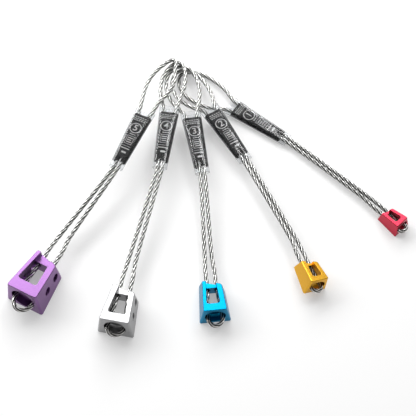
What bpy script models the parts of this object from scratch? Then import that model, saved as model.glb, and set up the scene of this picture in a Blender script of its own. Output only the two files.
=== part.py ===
"""Set of five wired climbing nuts, lying fanned out with their clip loops gathered at one point.

Every nut is an aluminium wedge on a closed loop of wire rope. The two ends of the rope meet in an
oval ferrule, under a printed label and a clear shrink sleeve. The loops lie on each other at the
gather point, one layer of rope for each nut.

Each nut is modelled along its own X axis, from the gather point at X = 0 to the bight of the rope
past the wide end of the head, and is then turned to its bearing.
"""
import math
from dataclasses import dataclass

import bmesh
import bpy
from mathutils import Matrix, Vector
from mathutils.geometry import interpolate_bezier

MM = 0.001

# Wire rope
CABLE_DIAMETER = 3.8 * MM
CABLE_BEVEL_RESOLUTION = 2
CABLE_STEP = 10.5 * MM
CABLE_TURN_STEP = math.radians(28.0)
CABLE_END_GAP = 1.0 * MM

# Fits between pieces
FIT_GAP = 0.25 * MM
BORE_CLEARANCE = 0.3 * MM
POCKET_CLEARANCE = 0.6 * MM
STACK_GAP = 0.4 * MM
STRAND_GAP = 0.4 * MM

# Ferrule, label and sleeve round the joined cable
FERRULE_LENGTH = 22.0 * MM
FERRULE_WALL = 0.7 * MM
FERRULE_OFFSET = 7.0 * MM
LABEL_LENGTH = 55.5 * MM
LABEL_FILM = 0.3 * MM
SLEEVE_OVERHANG = 7.0 * MM
SLEEVE_WALL = 0.5 * MM
SLEEVE_WIDTH_TOP = 20.4 * MM
SLEEVE_WIDTH_BOTTOM = 14.0 * MM
SLEEVE_EXIT_INSET = 1.3 * MM
TUBE_ARC_STEPS = 6

# Heads
HEAD_EDGE_RADIUS = 1.1 * MM
HEAD_EDGE_SEGMENTS = 2
HEAD_EDGE_PROFILE = 0.5
HEAD_LEAN = 1.8 * MM
HEAD_SLANT = math.radians(17.0)
HEAD_TRAVEL = 10.0 * MM
LEG_RUN_IN = 3.0 * MM
LEG_EASE = 16.0 * MM
LEG_EASE_SHARE = 0.74
LEG_LAND = 2.0 * MM
BIGHT_BASE_SHARE = 0.4
WINDOW_CORNER_RADIUS = 2.0 * MM
WINDOW_CORNER_STEPS = 3
CHANNEL_INSET = 0.15 * MM
CUT_OVERRUN = 4.0 * MM
BORE_SIDES = 16
BIGHT_STEPS = 7

# Clip loops: the rope drops from the sleeve to its own layer inside this ring round the gather point
LAYER_INNER_RADIUS = 15.0 * MM
LAYER_OUTER_RADIUS = 50.0 * MM

# Finishes: colour, roughness and metallic share
STEEL = ((0.52, 0.52, 0.50), 0.35, 1.0)
FERRULE_METAL = ((0.62, 0.60, 0.56), 0.4, 1.0)
LABEL_BLACK = ((0.012, 0.012, 0.013), 0.3, 0.0)
SLEEVE_CLEAR = ((0.78, 0.80, 0.82), 0.12, 0.0)
ANODISED_ROUGHNESS = 0.32
ANODISED_METALLIC = 1.0
SMOOTH_ANGLE = math.radians(40.0)
FLAT_ANGLE = math.radians(4.0)


@dataclass
class Nut:
    """Sizes of one nut, in millimetres and degrees, and the route of its clip loop."""
    name: str
    colour: tuple
    layer: int
    bearing: float
    # head
    length: float
    back_wide: float
    back_narrow: float
    front_wide: float
    front_narrow: float
    thick_wide: float
    thick_narrow: float
    cable_height: float
    crossbar_length: float
    crossbar_height: float
    wide_wall: float
    window_wide: float
    window_narrow: float
    window_shift: float
    pocket_depth: float
    pocket_height: float
    side_hole: float
    # cable in the head
    leg_spacing: float
    bight_width: float
    bight_depth: float
    # places along the nut
    head_start: float
    head_yaw: float
    head_roll: float
    sleeve_middle: tuple
    sleeve_yaw: float
    left_strand: tuple
    apex: tuple
    right_strand: tuple


NUTS = (
    Nut(
        name="red", colour=(0.80, 0.07, 0.14), layer=0, bearing=-39.1,
        length=22.8, back_wide=19.8, back_narrow=15.3, front_wide=14.8, front_narrow=11.4,
        thick_wide=16.0, thick_narrow=12.0, cable_height=5.4,
        crossbar_length=4.2, crossbar_height=8.8, wide_wall=6.2,
        window_wide=7.6, window_narrow=5.8, window_shift=0.0,
        pocket_depth=4.6, pocket_height=7.8, side_hole=0.0,
        leg_spacing=5.6, bight_width=8.8, bight_depth=2.8,
        head_start=251.2, head_yaw=-6.0, head_roll=0.0,
        sleeve_middle=(94.4, 4.8), sleeve_yaw=3.2,
        left_strand=((46.0, -12.5), (32.0, -16.0), (17.0, -15.8), (4.0, -10.0)),
        apex=(-3.0, 1.0),
        right_strand=((4.0, 10.5), (15.0, 15.0), (29.0, 16.0), (44.0, 14.2)),
    ),
    Nut(
        name="yellow", colour=(0.86, 0.46, 0.03), layer=1, bearing=-61.4,
        length=26.6, back_wide=24.0, back_narrow=19.2, front_wide=18.3, front_narrow=14.7,
        thick_wide=18.8, thick_narrow=14.6, cable_height=6.4,
        crossbar_length=4.8, crossbar_height=10.2, wide_wall=7.2,
        window_wide=9.4, window_narrow=7.4, window_shift=0.0,
        pocket_depth=5.4, pocket_height=9.4, side_hole=0.0,
        leg_spacing=6.6, bight_width=10.2, bight_depth=3.0,
        head_start=244.0, head_yaw=-7.2, head_roll=-17.0,
        sleeve_middle=(85.8, 4.4), sleeve_yaw=2.1,
        left_strand=((41.0, -11.5), (29.0, -16.7), (16.0, -18.0), (4.0, -14.0)),
        apex=(-5.0, -3.0),
        right_strand=((-1.0, 8.0), (9.0, 13.3), (23.0, 14.9), (38.0, 13.3)),
    ),
    Nut(
        name="blue", colour=(0.01, 0.42, 0.68), layer=2, bearing=-82.9,
        length=35.2, back_wide=29.4, back_narrow=23.4, front_wide=21.8, front_narrow=17.2,
        thick_wide=24.6, thick_narrow=16.4, cable_height=7.6,
        crossbar_length=6.0, crossbar_height=11.6, wide_wall=9.7,
        window_wide=12.6, window_narrow=9.8, window_shift=-0.8,
        pocket_depth=6.8, pocket_height=11.0, side_hole=0.0,
        leg_spacing=8.6, bight_width=14.0, bight_depth=6.6,
        head_start=235.9, head_yaw=-1.1, head_roll=0.0,
        sleeve_middle=(87.0, 4.0), sleeve_yaw=3.0,
        left_strand=((40.0, -12.8), (27.0, -17.5), (14.0, -18.0), (2.0, -14.5)),
        apex=(-7.0, -4.0),
        right_strand=((-3.0, 7.0), (8.0, 13.0), (21.0, 14.6), (36.0, 13.2)),
    ),
    Nut(
        name="silver", colour=(0.80, 0.80, 0.81), layer=3, bearing=-101.9,
        length=41.4, back_wide=34.5, back_narrow=26.8, front_wide=27.7, front_narrow=21.3,
        thick_wide=29.2, thick_narrow=18.6, cable_height=10.2,
        crossbar_length=7.0, crossbar_height=14.2, wide_wall=10.8,
        window_wide=16.6, window_narrow=11.6, window_shift=0.0,
        pocket_depth=8.0, pocket_height=12.6, side_hole=7.4,
        leg_spacing=9.6, bight_width=15.0, bight_depth=4.4,
        head_start=246.2, head_yaw=0.9, head_roll=0.0,
        sleeve_middle=(84.0, 1.2), sleeve_yaw=4.6,
        left_strand=((37.0, -13.8), (24.0, -16.6), (11.0, -16.8), (-1.0, -12.5)),
        apex=(-8.0, -6.0),
        right_strand=((-3.0, 1.0), (8.0, 5.0), (20.0, 6.6), (34.0, 6.0)),
    ),
    Nut(
        name="purple", colour=(0.36, 0.14, 0.52), layer=4, bearing=-119.9,
        length=47.0, back_wide=38.4, back_narrow=29.9, front_wide=31.1, front_narrow=23.4,
        thick_wide=32.3, thick_narrow=22.8, cable_height=12.0,
        crossbar_length=8.4, crossbar_height=17.0, wide_wall=13.5,
        window_wide=19.6, window_narrow=14.6, window_shift=-1.4,
        pocket_depth=9.2, pocket_height=14.0, side_hole=8.0,
        leg_spacing=12.4, bight_width=19.0, bight_depth=8.7,
        head_start=244.6, head_yaw=2.3, head_roll=0.0,
        sleeve_middle=(99.6, 0.8), sleeve_yaw=6.6,
        left_strand=((50.0, -15.2), (36.0, -19.2), (22.0, -20.3), (8.0, -18.2)),
        apex=(-3.5, -11.5),
        right_strand=((7.0, -4.2), (21.0, 2.6), (36.0, 4.0), (50.0, 2.6)),
    ),
)

# Stations of the side holes along the window, as shares of its length from the narrow end
SIDE_HOLE_STATIONS = (0.17, 0.79)

CABLE_RADIUS = CABLE_DIAMETER / 2
STRAND_SPACING = CABLE_DIAMETER + STRAND_GAP
BORE_RADIUS = CABLE_RADIUS + BORE_CLEARANCE
LAYER_STEP = CABLE_DIAMETER + STACK_GAP
FERRULE_HALF_HEIGHT = CABLE_RADIUS + FIT_GAP + FERRULE_WALL
LABEL_HALF_HEIGHT = FERRULE_HALF_HEIGHT + FIT_GAP + LABEL_FILM
SLEEVE_HALF_HEIGHT = LABEL_HALF_HEIGHT + FIT_GAP + SLEEVE_WALL
SLEEVE_HALF_LENGTH = LABEL_LENGTH / 2 + SLEEVE_OVERHANG


def clear_scene():
    for old in list(bpy.data.objects):
        bpy.data.objects.remove(old, do_unlink=True)


def make_material(name, colour, roughness, metallic):
    material = bpy.data.materials.new(name)
    material.use_nodes = True
    shader = material.node_tree.nodes["Principled BSDF"]
    shader.inputs["Base Color"].default_value = (*colour, 1.0)
    shader.inputs["Roughness"].default_value = roughness
    shader.inputs["Metallic"].default_value = metallic
    return material


def add_object(name, data, material, parent, matrix):
    piece = bpy.data.objects.new(name, data)
    bpy.context.scene.collection.objects.link(piece)
    piece.parent = parent
    piece.matrix_local = matrix
    if material:
        data.materials.append(material)
    return piece


def add_empty(name, parent=None):
    empty = bpy.data.objects.new(name, None)
    bpy.context.scene.collection.objects.link(empty)
    empty.parent = parent
    return empty


def finish_mesh(name, shape):
    bmesh.ops.recalc_face_normals(shape, faces=shape.faces)
    mesh = bpy.data.meshes.new(name)
    shape.to_mesh(mesh)
    shape.free()
    mesh.shade_smooth()
    mesh.set_sharp_from_angle(angle=SMOOTH_ANGLE)
    return mesh


# Heights: every nut's rope lies on its own layer at the gather point

def loop_height(nut):
    return CABLE_RADIUS + STACK_GAP + nut.layer * LAYER_STEP


def sleeve_height(nut):
    """The lowest sleeve lies on the ground, the next one on that nut's rope, the others on top."""
    height = SLEEVE_HALF_HEIGHT
    if nut.layer:
        height += CABLE_RADIUS + STACK_GAP + SLEEVE_HALF_HEIGHT + (nut.layer - 1) * LAYER_STEP
    return height


def strand_point(nut, place):
    """A point of the clip loop, lifted from its layer to the sleeve's height as it leaves the gather."""
    along, across = place[0] * MM, place[1] * MM
    reach = (math.hypot(along, across) - LAYER_INNER_RADIUS) / (LAYER_OUTER_RADIUS - LAYER_INNER_RADIUS)
    share = min(max(reach, 0.0), 1.0)
    share = share * share * (3.0 - 2.0 * share)
    low = loop_height(nut)
    return Vector((along, across, low + (sleeve_height(nut) - low) * share))


def head_matrix(nut):
    """The head's frame: on the cable's axis at the narrow end, with X towards the wide end."""
    roll = math.radians(nut.head_roll)
    drop = nut.cable_height * math.cos(roll) + nut.back_wide / 2 * abs(math.sin(roll))
    place = Matrix.Translation((nut.head_start * MM, 0.0, drop * MM))
    turn = Matrix.Rotation(math.radians(nut.head_yaw), 4, "Z")
    return place @ turn @ Matrix.Rotation(roll, 4, "X")


def sleeve_matrix(nut):
    """The sleeve's frame: in the middle of the sleeve, with X towards the head."""
    along, across = nut.sleeve_middle
    place = Matrix.Translation((along * MM, across * MM, sleeve_height(nut)))
    return place @ Matrix.Rotation(math.radians(nut.sleeve_yaw), 4, "Z")


# Cable

def smooth_route(points):
    """Points along a smooth curve through the route, closer together where it turns."""
    ends = [points[0] * 2 - points[1]] + list(points) + [points[-1] * 2 - points[-2]]
    route = [points[0]]
    for before, start, end, after in zip(ends, ends[1:], ends[2:], ends[3:]):
        span = (end - start).length
        leave = (end - before).normalized() * span / 3
        arrive = (after - start).normalized() * span / 3
        steps = max(math.ceil(span / CABLE_STEP), math.ceil(leave.angle(arrive) / CABLE_TURN_STEP), 1)
        route += interpolate_bezier(start, start + leave, end - arrive, end, steps + 1)[1:]
    return route


def sleeve_run(side, reach):
    """One strand from the ferrule to the top of the sleeve, in the sleeve's frame."""
    inner = side * STRAND_SPACING / 2
    outer = side * (SLEEVE_WIDTH_TOP / 2 - SLEEVE_WALL - CABLE_RADIUS - SLEEVE_EXIT_INSET)
    top = -SLEEVE_HALF_LENGTH
    ferrule_top = FERRULE_OFFSET - FERRULE_LENGTH / 2
    middle = (ferrule_top + top) / 2
    return [
        Vector((reach, inner, 0.0)),
        Vector(((reach + ferrule_top) / 2, inner, 0.0)),
        Vector((ferrule_top, inner, 0.0)),
        Vector((middle, (inner + outer) / 2, 0.0)),
        Vector((top, outer, 0.0)),
    ]


def sleeve_exit_run(side, reach):
    """One strand from the ferrule to the bottom of the sleeve, in the sleeve's frame."""
    inner = side * STRAND_SPACING / 2
    ferrule_bottom = FERRULE_OFFSET + FERRULE_LENGTH / 2
    return [
        Vector((reach, inner, 0.0)),
        Vector((ferrule_bottom, inner, 0.0)),
        Vector((SLEEVE_HALF_LENGTH, inner, 0.0)),
    ]


def head_run(nut, side):
    """One leg of the cable through the head, straight as far as the head slides, in its frame."""
    across = side * nut.leg_spacing / 2 * MM
    pocket_floor = (nut.length - nut.pocket_depth) * MM
    straight = -HEAD_TRAVEL - LEG_RUN_IN
    stations = (straight, -HEAD_TRAVEL, 0.0, pocket_floor - LEG_LAND, pocket_floor)
    points = [Vector((straight - LEG_EASE, across * LEG_EASE_SHARE, 0.0))]
    return points + [Vector((station, across, 0.0)) for station in stations]


def bight_run(nut):
    """The bend of the cable, out of the pocket on the positive side and back on the negative one."""
    sunk = nut.pocket_depth * BIGHT_BASE_SHARE
    points = []
    for step in range(BIGHT_STEPS + 1):
        angle = math.pi * step / BIGHT_STEPS
        points.append(Vector((
            (nut.length - sunk + (sunk + nut.bight_depth) * math.sin(angle)) * MM,
            nut.bight_width / 2 * math.cos(angle) * MM,
            0.0,
        )))
    return points


def cable_route(nut):
    """The cable from one end in the ferrule, round the clip loop and the head, to the other end."""
    in_sleeve = sleeve_matrix(nut)
    in_head = head_matrix(nut)
    half_gap = CABLE_END_GAP / 2
    places = (*nut.left_strand, nut.apex, *nut.right_strand)
    route = [in_sleeve @ point for point in sleeve_run(-1, FERRULE_OFFSET - half_gap)]
    route += [strand_point(nut, place) for place in places]
    route += [in_sleeve @ point for point in reversed(sleeve_run(1, FERRULE_OFFSET))]
    route += [in_sleeve @ point for point in sleeve_exit_run(1, FERRULE_OFFSET)[1:]]
    route += [in_head @ point for point in head_run(nut, 1)]
    route += [in_head @ point for point in bight_run(nut)]
    route += [in_head @ point for point in reversed(head_run(nut, -1))]
    route += [in_sleeve @ point for point in reversed(sleeve_exit_run(-1, FERRULE_OFFSET + half_gap))]
    return smooth_route(route)


def make_cable(nut, swing):
    route = cable_route(nut)
    curve = bpy.data.curves.new("cable_" + nut.name, "CURVE")
    curve.dimensions = "3D"
    curve.bevel_depth = CABLE_RADIUS
    curve.bevel_resolution = CABLE_BEVEL_RESOLUTION
    curve.use_fill_caps = True
    spline = curve.splines.new("POLY")
    spline.points.add(len(route) - 1)
    for point, place in zip(spline.points, route):
        point.co = (*place, 1.0)
    steel = make_material("steel_rope_" + nut.name, *STEEL)
    add_object(curve.name, curve, steel, swing, Matrix.Identity(4))


# Ferrule, label and sleeve: flattened tubes

def oval(half_width, half_height):
    """A flattened circle as (across, up) points, starting at the lower right."""
    straight = half_width - half_height
    points = []
    for centre, start in ((straight, -math.pi / 2), (-straight, math.pi / 2)):
        for step in range(TUBE_ARC_STEPS + 1):
            angle = start + math.pi * step / TUBE_ARC_STEPS
            points.append((centre + half_height * math.cos(angle), half_height * math.sin(angle)))
    return points


def flat_tube(name, start, end, half_width_start, half_width_end, half_height, wall):
    """An open flattened tube along X, whose width changes evenly from start to end."""
    shape = bmesh.new()
    rings = []
    for station, half_width in ((start, half_width_start), (end, half_width_end)):
        for inset in (0.0, wall):
            section = oval(half_width - inset, half_height - inset)
            rings.append([shape.verts.new((station, across, up)) for across, up in section])
    outer_start, inner_start, outer_end, inner_end = rings
    loops = (outer_start, outer_end, inner_end, inner_start, outer_start)
    for one, other in zip(loops, loops[1:]):
        for index in range(len(one)):
            after = (index + 1) % len(one)
            shape.faces.new((one[index], one[after], other[after], other[index]))
    return finish_mesh(name, shape)


def sleeve_half_width(station):
    """Half the width of the clear sleeve at a station of its own frame."""
    share = (station + SLEEVE_HALF_LENGTH) / (2 * SLEEVE_HALF_LENGTH)
    return (SLEEVE_WIDTH_TOP + (SLEEVE_WIDTH_BOTTOM - SLEEVE_WIDTH_TOP) * share) / 2


def make_wrap(nut, swing):
    """The ferrule on the cable, the label round it and the clear sleeve over both."""
    place = sleeve_matrix(nut)
    ferrule_half = (STRAND_SPACING / 2 + CABLE_RADIUS) + FIT_GAP + FERRULE_WALL
    ferrule = flat_tube(
        "ferrule_" + nut.name,
        FERRULE_OFFSET - FERRULE_LENGTH / 2, FERRULE_OFFSET + FERRULE_LENGTH / 2,
        ferrule_half, ferrule_half, FERRULE_HALF_HEIGHT, FERRULE_WALL,
    )
    metal = make_material("pressed_metal_" + nut.name, *FERRULE_METAL)
    add_object(ferrule.name, ferrule, metal, swing, place)

    label_end = LABEL_LENGTH / 2
    step_in = SLEEVE_WALL + FIT_GAP
    label = flat_tube(
        "label_" + nut.name, -label_end, label_end,
        sleeve_half_width(-label_end) - step_in, sleeve_half_width(label_end) - step_in,
        LABEL_HALF_HEIGHT, LABEL_FILM,
    )
    black = make_material("printed_film_" + nut.name, *LABEL_BLACK)
    add_object(label.name, label, black, swing, place)

    sleeve = flat_tube(
        "sleeve_" + nut.name, -SLEEVE_HALF_LENGTH, SLEEVE_HALF_LENGTH,
        SLEEVE_WIDTH_TOP / 2, SLEEVE_WIDTH_BOTTOM / 2, SLEEVE_HALF_HEIGHT, SLEEVE_WALL,
    )
    clear = make_material("clear_sleeve_" + nut.name, *SLEEVE_CLEAR)
    add_object(sleeve.name, sleeve, clear, swing, place)


# Heads

def taper(nut, narrow, wide, x):
    """A width or thickness of the head at X, from its values at the narrow and the wide end."""
    return narrow + (wide - narrow) * x / nut.length


def wedge(nut):
    """The solid wedge with a slanted narrow end and rounded edges, in the head's frame."""
    shape = bmesh.new()
    lean = HEAD_LEAN / MM
    slant = math.tan(HEAD_SLANT)
    start = -slant * nut.back_narrow
    corners = []
    for x_back, x_front in ((start, start), (nut.length, nut.length - lean)):
        half_back = taper(nut, nut.back_narrow, nut.back_wide, x_back) / 2
        half_front = taper(nut, nut.front_narrow, nut.front_wide, x_front) / 2
        back = -nut.cable_height
        front = back + taper(nut, nut.thick_narrow, nut.thick_wide, x_front)
        for x, half, z in ((x_back, half_back, back), (x_front, half_front, front)):
            corners += [(x, -half, z), (x, half, z)]
    for corner in corners:
        shape.verts.new([value * MM for value in corner])
    bmesh.ops.convex_hull(shape, input=shape.verts)
    bmesh.ops.bisect_plane(
        shape, geom=[*shape.verts, *shape.edges, *shape.faces],
        plane_co=(0.0, 0.0, -nut.cable_height * MM), plane_no=(-1.0, slant, lean / nut.thick_narrow),
        clear_outer=True,
    )
    bmesh.ops.holes_fill(shape, edges=shape.edges)
    bmesh.ops.dissolve_limit(
        shape, angle_limit=FLAT_ANGLE, verts=shape.verts, edges=shape.edges,
    )
    bmesh.ops.bevel(
        shape, geom=list(shape.edges), offset=HEAD_EDGE_RADIUS, segments=HEAD_EDGE_SEGMENTS,
        profile=HEAD_EDGE_PROFILE, affect="EDGES",
    )
    return finish_mesh("head_" + nut.name, shape)


def prism(name, outline, low, high):
    """A cutter with a flat outline in X and Y, from one height to another."""
    shape = bmesh.new()
    base = shape.faces.new([shape.verts.new((x, y, low)) for x, y in outline])
    pulled = bmesh.ops.extrude_face_region(shape, geom=[base])["geom"]
    top = [item for item in pulled if isinstance(item, bmesh.types.BMVert)]
    bmesh.ops.translate(shape, verts=top, vec=(0.0, 0.0, high - low))
    return finish_mesh(name, shape)


def rods(name, ends, radius):
    """A cutter of round rods, each between two points."""
    shape = bmesh.new()
    for start, end in ends:
        along = end - start
        turn = along.to_track_quat("Z", "Y").to_matrix().to_4x4()
        bmesh.ops.create_cone(
            shape, cap_ends=True, segments=BORE_SIDES, radius1=radius, radius2=radius,
            depth=along.length, matrix=Matrix.Translation((start + end) / 2) @ turn,
        )
    return finish_mesh(name, shape)


def window_outline(nut):
    """The window in the front face: wider and with round corners towards the wide end."""
    narrow_end = nut.crossbar_length * MM
    wide_end = (nut.length - nut.wide_wall) * MM
    half_narrow = nut.window_narrow / 2 * MM
    half_wide = nut.window_wide / 2 * MM
    right = []
    for step in range(WINDOW_CORNER_STEPS + 1):
        angle = math.pi / 2 * step / WINDOW_CORNER_STEPS
        right.append((
            wide_end - WINDOW_CORNER_RADIUS * (1.0 - math.sin(angle)),
            half_wide - WINDOW_CORNER_RADIUS * (1.0 - math.cos(angle)),
        ))
    left = [(x, -y) for x, y in reversed(right)]
    outline = [(narrow_end, half_narrow)] + right + left + [(narrow_end, -half_narrow)]
    return [(x, y + nut.window_shift * MM) for x, y in outline]


def channel_outline(nut):
    """The channel over the crossbar, in line with the window's sides."""
    start = -CUT_OVERRUN
    end = nut.crossbar_length * MM + CUT_OVERRUN / 2
    window_length = (nut.length - nut.wide_wall - nut.crossbar_length) * MM
    slope = (nut.window_wide - nut.window_narrow) / 2 * MM / window_length
    half = nut.window_narrow / 2 * MM - CHANNEL_INSET
    half_start = half + slope * (start - nut.crossbar_length * MM)
    half_end = half + slope * (end - nut.crossbar_length * MM)
    shift = nut.window_shift * MM
    return [
        (start, shift - half_start),
        (end, shift - half_end),
        (end, shift + half_end),
        (start, shift + half_start),
    ]


def pocket_cutter(nut):
    """The pocket that takes the bight, an oval sunk into the wide end with a drawn-in floor."""
    shape = bmesh.new()
    half_width = nut.bight_width / 2 * MM + CABLE_RADIUS + POCKET_CLEARANCE
    half_height = nut.pocket_height / 2 * MM
    floor = (nut.length - nut.pocket_depth) * MM
    draw_in = (half_height - BORE_RADIUS) / 2
    stations = (
        (floor, draw_in),
        (floor + draw_in, 0.0),
        (nut.length * MM + CUT_OVERRUN, 0.0),
    )
    rings = []
    for station, inset in stations:
        section = oval(half_width - inset, half_height - inset)
        rings.append([shape.verts.new((station, across, up)) for across, up in section])
    for one, other in zip(rings, rings[1:]):
        for index in range(len(one)):
            after = (index + 1) % len(one)
            shape.faces.new((one[index], one[after], other[after], other[index]))
    shape.faces.new(rings[0])
    shape.faces.new(rings[-1])
    return finish_mesh("cut_pocket_" + nut.name, shape)


def head_cutters(nut):
    """Everything that is cut out of the wedge, as meshes in the head's frame."""
    low = -nut.cable_height * MM - CUT_OVERRUN
    high = (nut.thick_wide - nut.cable_height) * MM + CUT_OVERRUN
    crossbar = (nut.crossbar_height - nut.cable_height) * MM
    half_spacing = nut.leg_spacing / 2 * MM
    bores = [
        (
            Vector((-CUT_OVERRUN, side * half_spacing, 0.0)),
            Vector(((nut.length - nut.pocket_depth / 2) * MM, side * half_spacing, 0.0)),
        )
        for side in (-1, 1)
    ]
    cutters = [
        prism("cut_window_" + nut.name, window_outline(nut), low, high),
        prism("cut_channel_" + nut.name, channel_outline(nut), crossbar, high),
    ]
    if nut.side_hole:
        window_start = nut.crossbar_length * MM
        window_length = (nut.length - nut.wide_wall) * MM - window_start
        reach = nut.back_wide * MM
        holes = []
        for share in SIDE_HOLE_STATIONS:
            station = window_start + window_length * share
            thickness = taper(nut, nut.thick_narrow, nut.thick_wide, station / MM)
            up = (thickness / 2 - nut.cable_height) * MM
            holes.append((Vector((station, -reach, up)), Vector((station, reach, up))))
        cutters.append(rods("cut_side_holes_" + nut.name, holes, nut.side_hole / 2 * MM))
    return cutters + [pocket_cutter(nut), rods("cut_bores_" + nut.name, bores, BORE_RADIUS)]


def make_head(nut, swing):
    place = head_matrix(nut)
    anodised = make_material("anodised_" + nut.name, nut.colour, ANODISED_ROUGHNESS, ANODISED_METALLIC)
    head = add_object("head_" + nut.name, wedge(nut), anodised, swing, place)
    for mesh in head_cutters(nut):
        cutter = add_object(mesh.name, mesh, None, swing, place)
        cutter.hide_render = True
        cutter.display_type = "WIRE"
        cut = head.modifiers.new(mesh.name, "BOOLEAN")
        cut.operation = "DIFFERENCE"
        cut.solver = "EXACT"
        cut.object = cutter


def stand_at_origin(root):
    """Move the set so that the middle of its outline lies on the origin, at ground level."""
    bpy.context.view_layer.update()
    graph = bpy.context.evaluated_depsgraph_get()
    corners = []
    for piece in bpy.data.objects:
        if piece.type == "EMPTY" or piece.hide_render:
            continue
        solid = piece.evaluated_get(graph)
        mesh = solid.to_mesh()
        corners += [solid.matrix_world @ vertex.co for vertex in mesh.vertices]
        solid.to_mesh_clear()
    middle = [
        (min(corner[axis] for corner in corners) + max(corner[axis] for corner in corners)) / 2
        for axis in (0, 1)
    ]
    ground = min(corner.z for corner in corners)
    root.location = (-middle[0], -middle[1], -ground)


def main():
    clear_scene()
    root = add_empty("gather_point")
    for nut in NUTS:
        swing = add_empty("swing_" + nut.name, root)
        swing.rotation_euler.z = math.radians(nut.bearing)
        make_cable(nut, swing)
        make_wrap(nut, swing)
        make_head(nut, swing)
    stand_at_origin(root)


main()
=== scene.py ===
"""Looks of a set of five wired climbing nuts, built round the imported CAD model.

Every nut gets a machined and anodised head, a laid wire rope, a printed label and a clear shrink
sleeve. Each piece is modelled along its own X axis and is then laid where the CAD model has it.
"""
import math
from dataclasses import dataclass

import bmesh
import bpy
import numpy as np
from mathutils import Matrix, Vector


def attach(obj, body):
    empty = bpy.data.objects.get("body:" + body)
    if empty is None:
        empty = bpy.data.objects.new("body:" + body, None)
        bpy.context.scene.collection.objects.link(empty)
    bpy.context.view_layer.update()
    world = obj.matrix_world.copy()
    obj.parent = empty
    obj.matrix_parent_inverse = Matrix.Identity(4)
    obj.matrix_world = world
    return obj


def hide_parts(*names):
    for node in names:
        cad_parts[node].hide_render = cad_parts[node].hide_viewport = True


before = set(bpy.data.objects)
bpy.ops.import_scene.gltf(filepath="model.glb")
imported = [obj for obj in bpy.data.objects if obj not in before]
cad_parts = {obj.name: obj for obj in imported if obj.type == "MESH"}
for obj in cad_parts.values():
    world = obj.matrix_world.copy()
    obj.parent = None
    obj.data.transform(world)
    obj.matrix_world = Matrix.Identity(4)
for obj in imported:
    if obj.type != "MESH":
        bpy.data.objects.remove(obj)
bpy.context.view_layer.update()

MM = 0.001

ORIGIN = (0.0, 0.0, 0.0)
WHITE = (1.0, 1.0, 1.0, 1.0)
# Turns that lay a primitive's own axis along X or Y
ALONG_X = (0.0, math.pi / 2, 0.0)
ALONG_Y = (math.pi / 2, 0.0, 0.0)

# Choosing of vertices: a fresh primitive has its corners one unit out, and the margin is in
# millimetres
FRESH_SIZE = 2.0
CORNER_PICK = 0.5
PICK_MARGIN = 1.0
# Choosing of edges and faces, by the share of their direction that runs along an axis
STEEP = 0.7
SHALLOW = 0.5
FACING = 0.9

# Finishing of meshes
MERGE_DISTANCE = 0.001 * MM
ROUND_PROFILE = 0.5
HEAD_SMOOTH_ANGLE = math.radians(32.0)
ROPE_SMOOTH_ANGLE = math.radians(60.0)
FILM_SMOOTH_ANGLE = math.radians(50.0)

# Wire rope: strands laid right-handed round a core, each touching the next
ROPE_RADIUS = 2.05 * MM
STRAND_COUNT = 5
STRAND_SHARE = math.sin(math.pi / STRAND_COUNT)
STRAND_RADIUS = ROPE_RADIUS * STRAND_SHARE / (1 + STRAND_SHARE)
STRAND_CENTRE = ROPE_RADIUS - STRAND_RADIUS
CORE_RADIUS = STRAND_CENTRE - STRAND_RADIUS
STRAND_SIDES = 12
ROPE_LAY = 40.0 * MM
LAY_STEPS = 28
# Turns that the wires make in their strand while the strand makes one
WIRE_TURNS = 2
ROUTE_RESOLUTION = 14
# Points of the route between which the bight is painted lighter, as painted light that lifts it out
# of its shade
BIGHT_KNOTS = (26, 35)
BIGHT_LIGHT_FADE = 6.0 * MM

# Heads, where lengths without MM are in the nut's own millimetres
HEAD_SLANT = math.radians(17.0)
HEAD_LEAN = 1.8
CORNER_SHARE = 0.06
CORNER_SEGMENTS = 5
EDGE_RADIUS = 0.7 * MM
EDGE_SEGMENTS = 3
RIM_RADIUS = 0.35 * MM
RIM_SEGMENTS = 2
RIM_ANGLE = math.radians(50.0)
WINDOW_CORNER = 2.4 * MM
WINDOW_CORNER_SHARE = 0.28
WINDOW_CORNER_SEGMENTS = 6
BORE_RADIUS = 2.4 * MM
BORE_STRETCH = 1.25
BORE_SIDES = 32
POCKET_SIDES = 48
POCKET_SIDE_ROOM = 2.5
POCKET_ROOF_GAP = 4.0
POCKET_SILL = 2.6
POCKET_FLOOR_RADIUS = 2.4 * MM
POCKET_FLOOR_SEGMENTS = 5
CUT_OVERRUN = 4.0
SIDE_HOLE_STATIONS = (0.17, 0.79)

# Label and clear sleeve in millimetres, in the sleeve's own frame with X towards the head
SLEEVE_HALF_LENGTH = 34.75
SLEEVE_HALF_WIDTHS = (10.2, 7.0)
SLEEVE_WALL = 0.4
LABEL_HALF_LENGTH = 27.75
LABEL_FILM = 0.3
LABEL_DEPTH = 0.55
TUBE_SIDES = 56
TUBE_RINGS = 30
# Section of the film at the top, the middle and the bottom of the sleeve
FILM_HEIGHT = (3.9, 4.1, 3.2)
FILM_FLAT = (8.0, 5.4, 4.3)
FILM_EDGE = (1.7, 1.2, 1.0)
# Fall of the film from its middle line to one of its shoulders
FILM_CROWN = 0.55
# Valleys between the legs of the rope, over a share of the sleeve's length from either end
VALLEY_SHARE = 0.25
TOP_VALLEY = 0.5
TOP_VALLEY_HALF = 6.2
BOTTOM_VALLEY = 1.1
BOTTOM_VALLEY_HALF = 2.3

# Print on the labels in millimetres: a ringed number between plain lines, ticks and bars
PRINT_OFFSET = 0.03 * MM
PRINT_FILM = 0.03 * MM
PRINT_HEIGHT = 12.0 * MM
RING_CENTRE = (-11.5 * MM, 0.0, PRINT_HEIGHT)
RING_RADII = (5.1, 5.8)
RING_SIDES = 64
NUMBER_SIZE = 9.6
NUMBER_WEIGHT = 0.12
NUMBER_RESOLUTION = 6
LONG_BAR = 4.0
LONG_BAR_CUTS = 6
SHORT_BAR_CUTS = 1
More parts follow.
